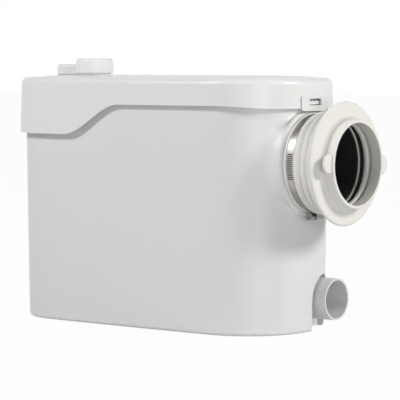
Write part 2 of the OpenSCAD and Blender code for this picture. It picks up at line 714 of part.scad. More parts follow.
module rotor_core() color([0.5, 0.5, 0.52])
    ztube(core_bore_r - air_gap, shaft_r + fit_gap / 2, core_low, core_low + core_h, pump_x);

// Basket round the motor, with the blade over its floor and the pump under it
basket_t = 2.5;
volute_h = 26;
basket_low = volute_low + volute_h;
basket_screw_inset = 4.6;
basket_screw_r = basket_r - basket_screw_inset;
basket_slots = 28;
basket_slot_w = 4;
basket_slot_rise = 12;
basket_slot_top_gap = 22;
basket_slot_low = basket_low + basket_slot_rise;
duct_gap = 2.3;
duct_r = spigot_bore_r - duct_gap;
basket_slot_h = inlet_z - duct_r - basket_slot_top_gap - basket_slot_low;
duct_t = 2.5;
duct_end_gap = 3;
boss_pad_r = 4.4;
boss_pad_h = 9;
shaft_hole_gap = 2;
motor_screw_angle = 45;
pump_screw_angle = 30;
module macerator_basket() color([0.1, 0.1, 0.105]) difference() {
    union() {
        ztube(basket_r, basket_r - basket_t, basket_low, pan_z, pump_x);
        zcyl(basket_r, basket_low, basket_low + basket_t, pump_x);
        around(4, pump_x, 0, basket_screw_r, 0) zcyl(boss_pad_r, pan_z - boss_pad_h, pan_z);
    }
    around(basket_slots, pump_x, 0, basket_r - basket_t, 180 / basket_slots)
        block([-over * 2, -basket_slot_w / 2, basket_slot_low],
            [basket_t + over * 2, basket_slot_w / 2, basket_slot_low + basket_slot_h]);
    xcyl(duct_r - duct_t, pump_x, pump_x + basket_r + over, 0, inlet_z);
    zcyl(shaft_r + shaft_hole_gap, basket_low - over, basket_low + basket_t + over, pump_x);
    around(4, pump_x, 0, basket_screw_r, 0) screw_hole(pan_z - boss_pad_h, pan_z);
    around(3, pump_x, 0, pump_screw_r, pump_screw_angle)
        screw_hole(basket_low, basket_low + basket_t);
}
module inlet_duct() color([0.09, 0.09, 0.095]) difference() {
    intersection() {
        xtube(duct_r, duct_r - duct_t, pump_x, half_l, 0, inlet_z);
        slab(-wall_t - duct_end_gap, basket_low, pan_z);
    }
    zcyl(basket_r + fit_gap, basket_low, pan_z + over, pump_x);
}
blade_gap = 15;
blade_r = basket_r - basket_t - blade_gap;
blade_w = 13;
blade_t = 2.5;
blade_rise = 4;
blade_z = basket_low + basket_t + blade_rise;
blade_hub_t = 5;
blade_hub_r = shaft_r + blade_hub_t;
blade_hub_h = 8;
module macerator_blade() color([0.68, 0.69, 0.71]) difference() {
    union() {
        block([pump_x - blade_r, -blade_w / 2, blade_z],
            [pump_x + blade_r, blade_w / 2, blade_z + blade_t]);
        zcyl(blade_hub_r, blade_z, blade_z + blade_hub_h, pump_x);
        for (s = [0, 180]) translate([pump_x, 0, 0]) rotate([0, 0, s])
            block([blade_r - blade_t, -blade_w / 2, blade_z], [blade_r, blade_w / 2, blade_z + blade_w]);
    }
    zcyl(shaft_r + fit_gap / 2, blade_z - over, blade_z + blade_hub_h + over, pump_x);
}

// Pump housing: a round chamber with a side outlet, closed from below by the suction plate
volute_r = 44;
volute_t = 3;
chamber_r = volute_r - volute_t * 2;
plate_t = 4;
chamber_top = volute_low + volute_h - volute_t * 2;
pump_screw_r = volute_r - volute_t;
outlet_reach = 12;
outlet_x = pump_x - volute_r - outlet_reach;
socket_depth = 12;
socket_t = 2.2;
eye_r = 16;
module pump_volute() color([0.16, 0.16, 0.17]) difference() {
    union() {
        zcyl(volute_r, volute_low + plate_t, basket_low, pump_x);
        difference() {
            intersection() {
                xcyl(pipe_r + socket_t, outlet_x, pump_x, discharge_y, run_z);
                block([outlet_x, discharge_y * 2, volute_low - socket_t], [pump_x, 0, basket_low]);
            }
            zcyl(volute_r + gap, volute_low - over, volute_low + plate_t, pump_x);
        }
    }
    zcyl(chamber_r, volute_low + plate_t - over, chamber_top, pump_x);
    xcyl(pipe_r - pipe_t, outlet_x - over, pump_x, discharge_y, run_z);
    xcyl(pipe_r + fit_gap, outlet_x - over, outlet_x + socket_depth, discharge_y, run_z);
    zcyl(shaft_r + 2 * run_gap, volute_low, basket_low + over, pump_x);
    around(3, pump_x, 0, pump_screw_r, pump_screw_angle)
        screw_hole(basket_low - pump_screw_l + over, basket_low);
}
pump_screw_l = 11;
module suction_plate() color([0.2, 0.2, 0.21]) difference() {
    union() {
        zcyl(volute_r, volute_low, volute_low + plate_t - fit_gap, pump_x);
        ztube(chamber_r - fit_gap, chamber_r - volute_t, volute_low, volute_low + plate_t * 1.25, pump_x);
    }
    zcyl(eye_r, volute_low - over, volute_low + plate_t + over, pump_x);
}
impeller_gap = 2.4;
impeller_clear = 2;
vane_angle = -18;
impeller_low = volute_low + plate_t + impeller_gap;
impeller_h = chamber_top - impeller_low - impeller_clear;
impeller_disc = 2.5;
vane_t = 2.4;
module impeller() color([0.25, 0.25, 0.26]) difference() {
    union() {
        zcyl(impeller_r, impeller_low + impeller_h - impeller_disc, impeller_low + impeller_h, pump_x);
        zcyl(shaft_r + vane_t, impeller_low + vane_t, impeller_low + impeller_h, pump_x);
        around(vanes, pump_x, 0, shaft_r + vane_t * 0.6) translate([0, -vane_t / 2, impeller_low])
            rotate([0, 0, vane_angle])
            cube([impeller_r - shaft_r - vane_t * 2.5, vane_t, impeller_h - impeller_disc / 2]);
    }
    zcyl(shaft_r + fit_gap / 2, impeller_low - over, impeller_low + impeller_h + over, pump_x);
}

// Discharge pipe from the pump to the check valve on the deck
riser_rise = 6;
riser_top = pan_top + riser_rise;
run_z = volute_low + pipe_r;
module discharge_pipe() color([0.18, 0.18, 0.19]) difference() {
    union() {
        xcyl(pipe_r, discharge_x, outlet_x + socket_depth - gap, discharge_y, run_z);
        zcyl(pipe_r, run_z, riser_top, discharge_x, discharge_y);
        translate([discharge_x, discharge_y, run_z]) sphere(r = pipe_r);
    }
    xcyl(pipe_r - pipe_t, discharge_x, outlet_x + socket_depth + over, discharge_y, run_z);
    zcyl(pipe_r - pipe_t, run_z, riser_top + over, discharge_x, discharge_y);
    translate([discharge_x, discharge_y, run_z]) sphere(r = pipe_r - pipe_t);
}
valve_t = 3;
valve_seat = 3;
flap_t = 2;
flap_lap = 0.6;
flap_r = pipe_r + flap_lap;
valve_seat_z = riser_top + valve_seat;
hinge_r = 1;
hinge_inset = 2.6;
hinge_off = valve_r - valve_t - hinge_inset;
hinge_rise = 1.2;
hinge_z = valve_seat_z + gap + flap_t + hinge_rise;
hinge_y = discharge_y + hinge_off;
knuckle_r = 2;
knuckle_w = 8;
module check_valve_body() color([0.24, 0.24, 0.25]) difference() {
    zcyl(valve_r, pan_top, valve_top, discharge_x, discharge_y);
    zcyl(pipe_r + fit_gap, pan_top - over, riser_top, discharge_x, discharge_y);
    zcyl(pipe_r - pipe_t, pan_top, valve_top, discharge_x, discharge_y);
    zcyl(valve_r - valve_t, valve_seat_z, valve_top + over, discharge_x, discharge_y);
    xcyl(hinge_r + fit_gap, discharge_x - valve_r, discharge_x + valve_r, hinge_y, hinge_z);
}
pin_short = 1.5;
pin_half = sqrt(pow(valve_r, 2) - pow(hinge_off, 2)) - pin_short;
module discharge_flap_pin() color([0.75, 0.75, 0.77])
    xcyl(hinge_r, discharge_x - pin_half, discharge_x + pin_half, hinge_y, hinge_z);
module discharge_flap() color([0.12, 0.12, 0.12]) difference() {
    union() {
        zcyl(flap_r, valve_seat_z + gap, valve_seat_z + gap + flap_t, discharge_x, discharge_y);
        block([discharge_x - knuckle_w / 2, discharge_y, valve_seat_z + gap],
            [discharge_x + knuckle_w / 2, hinge_y, valve_seat_z + gap + flap_t]);
        xcyl(knuckle_r, discharge_x - knuckle_w / 2, discharge_x + knuckle_w / 2, hinge_y, hinge_z);
    }
    xcyl(hinge_r + run_gap, discharge_x - knuckle_w, discharge_x + knuckle_w, hinge_y, hinge_z);
}

// Level switch: an open tube, a rubber membrane over it and a microswitch
bell_reach = 97;
bell_inset = 43.2;
bell_x = pump_x - bell_reach;
bell_y = half_w - bell_inset;
bell_r = 17;
bell_t = 2.5;
bell_low = 18;
bell_neck_r = 7;
bell_port_r = 4.5;
cup_r = 22;
cup_h = 8;
membrane_t = 1.2;
cover_h = 3;
switch_gap = 3;
switch_l = 28;
switch_w = 10;
switch_h = 16;
plunger_r = 2;
cup_top = pan_top + cup_h;
cover_top = cup_top + membrane_t + cover_h;
module pressure_tube() color([0.22, 0.22, 0.23]) difference() {
    union() {
        zcyl(bell_r, bell_low, pan_z, bell_x, bell_y);
        zcyl(bell_neck_r, pan_z, pan_top + bell_t, bell_x, bell_y);
    }
    zcyl(bell_r - bell_t, bell_low - over, pan_z - bell_t, bell_x, bell_y);
    zcyl(bell_port_r, pan_z - bell_t - over, pan_top + bell_t + over, bell_x, bell_y);
}
module membrane_cup() color([0.28, 0.28, 0.29]) difference() {
    zcyl(cup_r, pan_top, cup_top, bell_x, bell_y);
    zcyl(cup_r - bell_t, pan_top + bell_t, cup_top + over, bell_x, bell_y);
    zcyl(bell_neck_r + fit_gap, pan_top - over, cup_top, bell_x, bell_y);
}
module membrane() color([0.08, 0.08, 0.08])
    zcyl(cup_r, cup_top, cup_top + membrane_t, bell_x, bell_y);
module membrane_cover() color([0.28, 0.28, 0.29]) {
    ztube(cup_r, cup_r - 2 * bell_t, cup_top + membrane_t, cover_top, bell_x, bell_y);
    for (s = [-1, 1]) translate([bell_x + s * (cup_r - 1.2 * bell_t), bell_y, cover_top]) {
        zcyl(bell_t, 0, switch_gap);
        block([-bell_t, -bell_t, switch_gap], [bell_t, bell_t, switch_gap + bell_t]);
    }
}
switch_z = cover_top + switch_gap;
module microswitch() color([0.15, 0.15, 0.16]) difference() {
    block([bell_x - switch_l / 2, bell_y - switch_w / 2, switch_z],
        [bell_x + switch_l / 2, bell_y + switch_w / 2, switch_z + switch_h]);
    zcyl(plunger_r + run_gap, switch_z - over, switch_z + switch_h / 2, bell_x, bell_y);
}
plunger_foot_r = 8;
module switch_plunger() color([0.8, 0.2, 0.15]) {
    zcyl(plunger_foot_r, cup_top + membrane_t + gap, cup_top + 2 * membrane_t + gap, bell_x, bell_y);
    zcyl(plunger_r, cup_top + membrane_t + gap, switch_z + switch_h / 4, bell_x, bell_y);
}

// Electrical pieces on the deck
cap_can_r = 11;
cap_can_l = 52;
cap_can_back = 10;
cap_can_inset = 34.2;
cap_can_x = pump_x - cap_can_back;
cap_can_y = cap_can_inset - half_w;
clip_t = 1.5;
clip_w = 12;
module capacitor() color([0.85, 0.85, 0.83])
    xcyl(cap_can_r, cap_can_x, cap_can_x + cap_can_l, cap_can_y, pan_top + cap_can_r + clip_t);
module capacitor_clip() color([0.7, 0.7, 0.7]) {
    mid = cap_can_x + cap_can_l / 2;
    z = pan_top + cap_can_r + clip_t;
    difference() {
        union() {
            xcyl(cap_can_r + clip_t, mid - clip_w / 2, mid + clip_w / 2, cap_can_y, z);
            block([mid - clip_w / 2, cap_can_y - cap_can_r - 3 * clip_t, pan_top],
                [mid + clip_w / 2, cap_can_y + cap_can_r + 3 * clip_t, pan_top + clip_t]);
        }
        xcyl(cap_can_r + fit_gap / 2, mid - clip_w, mid + clip_w, cap_can_y, z);
    }
}
terminal_back = 53;
terminal_inset = 27.2;
terminal_x = pump_x - terminal_back;
terminal_y = half_w - terminal_inset;
terminal_l = 42;
terminal_w = 20;
terminal_h = 15;
terminal_r = 2.2;
module terminal_block() color([0.88, 0.88, 0.85]) difference() {
    block([terminal_x, terminal_y - terminal_w / 2, pan_top],
        [terminal_x + terminal_l, terminal_y + terminal_w / 2, pan_top + terminal_h]);
    for (i = [1:2:7], s = [-1, 1]) zcyl(terminal_r, pan_top + terminal_h / 2, pan_top + terminal_h + over,
        terminal_x + terminal_l * i / 8, terminal_y + s * terminal_w / 4);
}

// Screws, each with a round head and a cross recess
module screw(head_z, l) difference() {
    union() {
        zcyl(screw_head_r, head_z, head_z + screw_head_h);
        zcyl(screw_r, head_z - l, head_z);
    }
    for (a = [0, 90]) rotate([0, 0, a]) block([-screw_r, -screw_r / 5, head_z + screw_head_h / 2],
        [screw_r, screw_r / 5, head_z + screw_head_h + over]);
}
module motor_screws() color([0.75, 0.75, 0.76])
    around(4, pump_x, 0, motor_screw_r, motor_screw_angle) screw(pan_top, deck_t + can_flange_t);
module basket_screws() color([0.75, 0.75, 0.76])
    around(4, pump_x, 0, basket_screw_r, 0) screw(pan_top, deck_t + boss_pad_h);
module pump_screws() color([0.75, 0.75, 0.76])
    around(3, pump_x, 0, pump_screw_r, pump_screw_angle)
        screw(basket_low + basket_t, basket_t + pump_screw_l - volute_t);

// Flap valve behind the side inlet
seat_ring_t = 4;
seat_ring_gap = 1;
seat_ring_r = alcove_r - seat_ring_gap;
side_seat_x = alcove_x - wall_t - seat_ring_t;
side_flap_lap = 1;
side_flap_r = side_port_r + side_flap_lap;
side_flap_t = 2.5;
side_hinge_rise = 3.4;
side_hinge_z = side_z + side_flap_r + side_hinge_rise;
side_hinge_x = side_seat_x - gap - knuckle_r;
ear_w = 3;
ear_gap = 0.4;
module side_valve_seat() color([0.24, 0.24, 0.25]) {
    xtube(seat_ring_r, side_port_r - seat_ring_gap, side_seat_x, alcove_x - wall_t, side_y, side_z);
    for (s = [-1, 1]) difference() {
        ear_y = side_y + s * (side_pin_half - ear_w / 2);
        union() {
            block([side_hinge_x, ear_y - ear_w / 2, side_hinge_z - knuckle_r],
                [side_seat_x + ear_w, ear_y + ear_w / 2, side_hinge_z + knuckle_r]);
            ycyl(knuckle_r, ear_y - ear_w / 2, ear_y + ear_w / 2, side_hinge_x, side_hinge_z);
        }
        ycyl(hinge_r + fit_gap, side_y - seat_ring_r, side_y + seat_ring_r, side_hinge_x, side_hinge_z);
    }
}
side_pin_half = knuckle_w / 2 + ear_gap + ear_w;
module side_flap_pin() color([0.75, 0.75, 0.77])
    ycyl(hinge_r, side_y - side_pin_half, side_y + side_pin_half, side_hinge_x, side_hinge_z);
module side_flap() color([0.1, 0.1, 0.1]) difference() {
    union() {
        xcyl(side_flap_r, side_seat_x - gap - side_flap_t, side_seat_x - gap, side_y, side_z);
        block([side_seat_x - gap - side_flap_t, side_y - knuckle_w / 2, side_z],
            [side_seat_x - gap, side_y + knuckle_w / 2, side_hinge_z]);
        ycyl(knuckle_r, side_y - knuckle_w / 2, side_y + knuckle_w / 2, side_hinge_x, side_hinge_z);
    }
    ycyl(hinge_r + run_gap, side_y - knuckle_w, side_y + knuckle_w, side_hinge_x, side_hinge_z);
}

tank_floor();
tank_left();
tank_front();
tank_back();
tank_right();
inlet_boss();
side_socket();
inlet_sleeve();
inlet_seal();
wc_connector();
clamp_band();
clamp_housing();
clamp_screw();
lid_gasket();
side_valve_seat();
side_flap_pin();
side_flap();
lid_shell();
lid_skirt();
lid_ring();
vent_neck();
deck_pan();
discharge_neck();
discharge_cap();
vent_cap();
vent_filter();
cable_gland();
gland_nut();
motor_can();
stator_core();
stator_windings();
motor_bracket();
upper_bearing();
lower_bearing();
shaft_seal();
motor_shaft();
rotor_core();
macerator_blade();
impeller();
macerator_basket();
inlet_duct();
pump_volute();
suction_plate();
discharge_pipe();
check_valve_body();
discharge_flap_pin();
discharge_flap();
pressure_tube();
membrane_cup();
membrane();
membrane_cover();
microswitch();
switch_plunger();
capacitor();
capacitor_clip();
terminal_block();
motor_screws();
basket_screws();
pump_screws();
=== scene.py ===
import json
from math import cos, pi, radians, sin, sqrt

import bmesh
import bpy
from mathutils import Matrix, Vector

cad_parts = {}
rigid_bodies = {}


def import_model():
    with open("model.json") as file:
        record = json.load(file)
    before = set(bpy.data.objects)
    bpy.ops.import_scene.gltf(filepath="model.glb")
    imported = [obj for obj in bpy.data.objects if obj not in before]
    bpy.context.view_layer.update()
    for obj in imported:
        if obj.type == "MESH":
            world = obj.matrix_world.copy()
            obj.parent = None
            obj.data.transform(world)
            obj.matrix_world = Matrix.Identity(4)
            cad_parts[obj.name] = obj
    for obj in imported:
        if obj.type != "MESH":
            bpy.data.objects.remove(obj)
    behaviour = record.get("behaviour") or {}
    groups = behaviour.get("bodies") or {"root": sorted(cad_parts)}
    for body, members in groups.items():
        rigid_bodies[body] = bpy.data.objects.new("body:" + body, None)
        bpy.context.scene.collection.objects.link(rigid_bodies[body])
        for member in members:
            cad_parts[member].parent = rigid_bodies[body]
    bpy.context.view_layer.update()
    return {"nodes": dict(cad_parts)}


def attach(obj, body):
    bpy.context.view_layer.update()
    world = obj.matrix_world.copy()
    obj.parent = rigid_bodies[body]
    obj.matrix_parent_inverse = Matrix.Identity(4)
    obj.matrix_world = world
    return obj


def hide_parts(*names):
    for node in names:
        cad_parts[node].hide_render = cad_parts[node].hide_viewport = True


for leftover in list(bpy.data.objects):
    bpy.data.objects.remove(leftover)
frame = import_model()
cad = frame["nodes"]

# Camera: stands at the right front corner of the unit, a little over its lid,
# far back on a long lens, as the photograph was taken.
camera = bpy.data.objects.new("camera", bpy.data.cameras.new("camera"))
camera.location = (1.46166, -1.82496, 0.28507)
camera.rotation_euler = (radians(86.287), 0, radians(38.0))
camera.data.lens = 190.66
camera.data.sensor_width = 36
camera.data.clip_end = 60
bpy.context.scene.collection.objects.link(camera)
bpy.context.scene.camera = camera
bpy.context.scene.view_settings.view_transform = "Standard"


# Studio floor: a wide sheet of white paper under the unit. It shows white to the
# camera and in gloss, and still takes the soft shadow of the tank.
class Shade:
    """One value of a finish that changes over a surface, so that sums on it read plainly."""

    def __init__(self, finish, socket):
        self.finish, self.socket = finish, socket

    def maths(self, operation, *values):
        return self.finish.add("ShaderNodeMath", {"operation": operation}, dict(enumerate(values)))

    def __add__(self, other):
        return self.maths("ADD", self, other)

    def __mul__(self, other):
        return self.maths("MULTIPLY", self, other)


class Finish:
    """The finish of one material: fixed values on its shader, nodes for what changes."""

    def __init__(self, name, colour, roughness, metallic=0.0, **fixed):
        self.material = bpy.data.materials.new(name)
        self.material.use_nodes = True
        self.tree = self.material.node_tree
        self.shader = self.tree.nodes["Principled BSDF"]
        self.set("Base Color", (*colour, 1))
        self.set("Roughness", roughness)
        self.set("Metallic", metallic)
        for socket, value in fixed.items():
            self.set(socket.replace("_", " "), value)

    def put(self, socket, value):
        if isinstance(value, Shade):
            self.tree.links.new(value.socket, socket)
        else:
            socket.default_value = value

    def set(self, socket, value):
        self.put(self.shader.inputs[socket], value)

    def add(self, kind, settings, sockets, output=0):
        node = self.tree.nodes.new(kind)
        for name, value in settings.items():
            setattr(node, name, value)
        for name, value in sockets.items():
            self.put(node.inputs[name], value)
        return Shade(self, node.outputs[output])

    def place(self, scale=(1, 1, 1), centre=(0, 0, 0)):
        return self.add("ShaderNodeMapping", {"vector_type": "POINT"},
                        {"Vector": self.add("ShaderNodeTexCoord", {}, {}, "Object"),
                         "Location": [-c * s for c, s in zip(centre, scale)],
                         "Scale": scale})

    def noise(self, place, size, detail=2.0, roughness=0.5):
        return self.add("ShaderNodeTexNoise", {},
                        {"Vector": place, "Scale": 1 / size, "Detail": detail,
                         "Roughness": roughness})

    def colours(self, first, second, share):
        return self.add("ShaderNodeMix", {"data_type": "RGBA"},
                        {0: share, 6: (*first, 1), 7: (*second, 1)}, 2)

    def relief(self, height, depth, strength=1.0):
        bump = self.add("ShaderNodeBump", {},
                        {"Height": height, "Distance": depth, "Strength": strength})
        self.set("Normal", bump)


floor_reach = 14
floor_mesh = bmesh.new()
bmesh.ops.create_grid(floor_mesh, x_segments=2, y_segments=2, size=floor_reach)
floor_data = bpy.data.meshes.new("studio_floor")
floor_mesh.to_mesh(floor_data)
floor_mesh.free()
studio_floor = bpy.data.objects.new("studio_floor", floor_data)
bpy.context.scene.collection.objects.link(studio_floor)
paper = Finish("paper", (0.66, 0.66, 0.66), 0.9)
paper_rays = paper.tree.nodes.new("ShaderNodeLightPath")
camera_ray, gloss_ray, clear_ray = [
    Shade(paper, paper_rays.outputs[kind])
    for kind in ("Is Camera Ray", "Is Glossy Ray", "Is Transmission Ray")]
paper_seen = camera_ray + gloss_ray + clear_ray
glow_share = 0.97
paper_glow = paper.add("ShaderNodeEmission", {}, {"Color": (1, 1, 1, 1), "Strength": 1.0})
paper_lit = paper.add("ShaderNodeMixShader", {},
                      {0: paper_seen * glow_share, 1: Shade(paper, paper.shader.outputs[0]),
                       2: paper_glow})
paper.put(paper.tree.nodes["Material Output"].inputs["Surface"], paper_lit)
floor_data.materials.append(paper.material)


# Studio light: the key is a soft box high at the left front. A second hangs behind
# the pan connector, a weak low one lights the corner at the right front, and a room
# gives dim even light but shows white to the camera and in gloss.
def soft_box(name, place, aim, size, watts, colour):
    lamp = bpy.data.lights.new(name, "AREA")
    lamp.shape, lamp.size, lamp.energy, lamp.color = "SQUARE", size, watts, colour
    box = bpy.data.objects.new(name, lamp)
    box.location = place
    box.rotation_euler = (Vector(aim) - Vector(place)).to_track_quat("-Z", "Y").to_euler()
    bpy.context.scene.collection.objects.link(box)


soft_box("key_box", (-0.9, -1.85, 1.85), (0, 0, 0.14), 0.5, 43, (0.985, 0.99, 1.0))
soft_box("side_box", (1.8, 0.45, 1.15), (0.1, 0, 0.14), 0.5, 24, (1.0, 0.98, 0.95))
soft_box("corner_box", (1.75, -1.1, 0.3), (0.18, 0, 0.05), 0.6, 9, (1.0, 0.985, 0.96))
room = bpy.data.worlds.new("room")
room.use_nodes = True
bpy.context.scene.world = room
room_nodes, room_links = room.node_tree.nodes, room.node_tree.links
room_light = room_nodes["Background"]
room_light.inputs["Color"].default_value = (0.97, 0.98, 1.0, 1)
room_light.inputs["Strength"].default_value = 0.07
room_white = room_nodes.new("ShaderNodeBackground")
room_white.inputs["Color"].default_value = (1, 1, 1, 1)
room_rays = room_nodes.new("ShaderNodeLightPath")
room_mix = room_nodes.new("ShaderNodeMixShader")
room_seen = room_nodes.new("ShaderNodeMath")
room_seen.operation = "MAXIMUM"
room_links.new(room_rays.outputs["Is Camera Ray"], room_seen.inputs[0])
room_links.new(room_rays.outputs["Is Glossy Ray"], room_seen.inputs[1])
room_links.new(room_seen.outputs[0], room_mix.inputs[0])
room_links.new(room_light.outputs[0], room_mix.inputs[1])
room_links.new(room_white.outputs[0], room_mix.inputs[2])
room_links.new(room_mix.outputs[0], room_nodes["World Output"].inputs["Surface"])


# Tank: one injection moulding of white ABS, oval, open at the top, with a raised
# boss for the pan inlet, its spigot, a recess and a socket for the side inlet.
def moulding(name, colour, cool, roughness, grain=0.00045, depth=0.00002):
    """Satin moulded plastic: fine grain, a slow drift of tone and of gloss."""
    finish = Finish(name, colour, roughness, Specular_IOR_Level=0.45)
    where = finish.place()
    drift = finish.noise(where, 0.12, 2)
    finish.set("Base Color", finish.colours(colour, cool, drift))
    finish.set("Roughness", finish.noise(where, 0.02, 3) * 0.1 + (roughness - 0.05))
    finish.relief(finish.noise(where, grain, 2), depth, 0.5)
    return finish.material


def new_piece(name, mesh, body, material, replaced=()):
    """Makes an object of a finished bmesh, ties it to its body, and hides the CAD nodes it
    replaces.
    """
    data = bpy.data.meshes.new(name)
    mesh.to_mesh(data)
    mesh.free()
    data.materials.append(material)
    piece = bpy.data.objects.new(name, data)
    bpy.context.scene.collection.objects.link(piece)
    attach(piece, body)
    if replaced:
        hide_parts(*replaced)
    return piece


weld_gap = 0.000002


def merged_shell(nodes, crease, cuts=()):
    """One merged copy of moulded CAD pieces, smooth but for edges sharper than the crease.

    Faces in the upright planes where the CAD cuts the moulding are left out.
    """
    shell = bmesh.new()
    for node in nodes:
        shell.from_mesh(cad[node].data)
    bmesh.ops.remove_doubles(shell, verts=shell.verts, dist=weld_gap)
    bmesh.ops.dissolve_degenerate(shell, edges=shell.edges, dist=weld_gap)
    inner = [face for face in shell.faces
             if any(all(abs(v.co.x - cut) < weld_gap for v in face.verts) for cut in cuts)]
    bmesh.ops.delete(shell, geom=inner, context="FACES_ONLY")
    for face in shell.faces:
        face.smooth = True
        face.material_index = 0
    for edge in shell.edges:
        edge.smooth = edge.calc_face_angle(pi) < radians(crease)
    return shell


def weigh_normals(piece):
    """Lets broad faces keep their own direction beside narrow rounded ones."""
    weigh = piece.modifiers.new("broad_faces", "WEIGHTED_NORMAL")
    weigh.keep_sharp = True
    weigh.weight = 50


white_abs = moulding("white_abs", (0.735, 0.735, 0.735), (0.72, 0.725, 0.74), 0.42)
tank_nodes = ["tank_floor", "tank_left", "tank_front", "tank_back", "tank_right",
              "inlet_boss", "side_socket"]
left_arc_x, right_arc_x = -0.1156466, 0.110253  # the CAD cuts where the end arcs begin
tank_shell = merged_shell(tank_nodes, crease=28, cuts=(left_arc_x, right_arc_x))
tank_body = new_piece("tank_body", tank_shell, "tank", white_abs, tank_nodes)
weigh_normals(tank_body)

# Boss fillet: the soft hollow curve in which the round moulded boss runs into the
# end of the tank, part of the same moulding.
inlet_z = 0.18
boss_r = 0.0565
boss_face_x = 0.18505
fillet_w = 0.011
root_r, foot_r = boss_r + 0.00004, boss_r + fillet_w
fillet_top_x = boss_face_x - 0.004
skin_lift = 0.00003
tank_end_x = 0.18025
corner_r = 0.07
corner_x, corner_y = tank_end_x - corner_r, 0.0092
wall_draft = 0.0122


def end_wall_x(y, z):
    """Outside of the tank's right end at a place across and up."""
    r = corner_r + wall_draft * z
    side = max(0.0, abs(y) - corner_y)
    return corner_x + sqrt(max(0.0, r * r - side * side))


def bend(start, corner, end, t):
    """A place on the curve that leaves start for a corner and comes in to the end."""
    return start * (1 - t) ** 2 + corner * 2 * t * (1 - t) + end * t ** 2


fillet = bmesh.new()
bmesh.ops.create_grid(fillet, x_segments=160, y_segments=8, size=1)
for vert in fillet.verts:
    turn, share = vert.co.x * pi, (vert.co.y + 1) / 2
    root_y, root_z = root_r * sin(turn), root_r * cos(turn) + inlet_z
    foot_y, foot_z = foot_r * sin(turn), foot_r * cos(turn) + inlet_z
    wall_x = end_wall_x(root_y, root_z)
    top = Vector((min(wall_x + fillet_w, fillet_top_x), root_y, root_z))
    foot = Vector((end_wall_x(foot_y, foot_z), foot_y, foot_z))
    point = bend(top, Vector((wall_x, root_y, root_z)), foot, share)
    vert.co = (max(point.x, end_wall_x(point.y, point.z) + skin_lift), point.y, point.z)
bmesh.ops.remove_doubles(fillet, verts=fillet.verts, dist=weld_gap)
for face in fillet.faces:
    face.smooth = True
bmesh.ops.recalc_face_normals(fillet, faces=fillet.faces)
new_piece("boss_fillet", fillet, "tank", white_abs)


# Pan connector: one soft off-white rubber moulding, turned about the inlet axis. A
# cuff under the clamp, two ribs, a broad flange, and a collar with two grip tabs.
def rounded(corners, steps=5, side_share=0.49):
    """A chain of points with an arc at each corner: place along, radius, and rounding.

    An arc takes no more than the given share of the side before it and after it.
    """
    chain = []
    for before, here, after in zip([corners[-1]] + corners, corners, corners[1:] + [corners[0]]):
        place = Vector(here[:2])
        if not here[2]:
            chain.append(place)
            continue
        back, on = Vector(before[:2]) - place, Vector(after[:2]) - place
        start = place + back.normalized() * min(here[2], back.length * side_share)
        end = place + on.normalized() * min(here[2], on.length * side_share)
        chain += [bend(start, place, end, i / steps) for i in range(steps + 1)]
    return chain


def turned(chain, centre, axis, turns=128):
    """A closed chain of points, each along an axis and out from it, spun full round."""
    mesh = bmesh.new()
    out = Vector((0, 0, 1)) if axis != "Z" else Vector((1, 0, 0))
    along = Vector((axis == "X", axis == "Y", axis == "Z"))
    verts = [mesh.verts.new(Vector(centre) + along * a + out * r) for a, r in chain]
    edges = [mesh.edges.new((verts[i - 1], verts[i])) for i in range(len(verts))]
    bmesh.ops.spin(mesh, geom=verts + edges, cent=centre, axis=along, angle=2 * pi,
                   steps=turns, use_merge=True)
    bmesh.ops.remove_doubles(mesh, verts=mesh.verts, dist=weld_gap)
    bmesh.ops.recalc_face_normals(mesh, faces=mesh.faces)
    for face in mesh.faces:
        face.smooth = True
    return mesh


def rubber(name, colour, warm, roughness):
    """Matt moulded rubber with a fine bloom of lighter powder."""
    finish = Finish(name, colour, roughness, Specular_IOR_Level=0.35)
    where = finish.place()
    finish.set("Base Color", finish.colours(colour, warm, finish.noise(where, 0.03, 4, 0.6)))
    finish.set("Roughness", finish.noise(where, 0.012, 3) * 0.14 + (roughness - 0.07))
    finish.relief(finish.noise(where, 0.0007, 3), 0.00003, 0.5)
    return finish.material


off_white_rubber = rubber("off_white_rubber", (0.76, 0.755, 0.725), (0.74, 0.735, 0.70), 0.5)
cuff_x, cuff_r, cuff_in = 0.18535, 0.05075, 0.04865
cuff_lip_r = cuff_r + 0.0018
rib_1_x, rib_2_x, neck_x, rib_h = 0.1969, 0.2061, 0.216, 0.0029
rib_1_r, rib_2_r, neck_r = cuff_r + 0.0004, cuff_r + 0.0006, cuff_r + 0.004
cone_x, cone_r = 0.2198, 0.0592
flange_x, flange_r = 0.22735, 0.0651
rim_x, rim_r, bore_r = 0.24405, 0.0449, 0.0429
groove_r, seat_r = bore_r + 0.003, bore_r + 0.0009


def rib(x0, r0, x1, r1, height, steps=10):
    """One full rounded rib between two places along the connector."""
    return [(x0 + (x1 - x0) * i / steps,
             r0 + (r1 - r0) * i / steps + height * sin(pi * i / steps) ** 0.7, 0)
            for i in range(steps)]


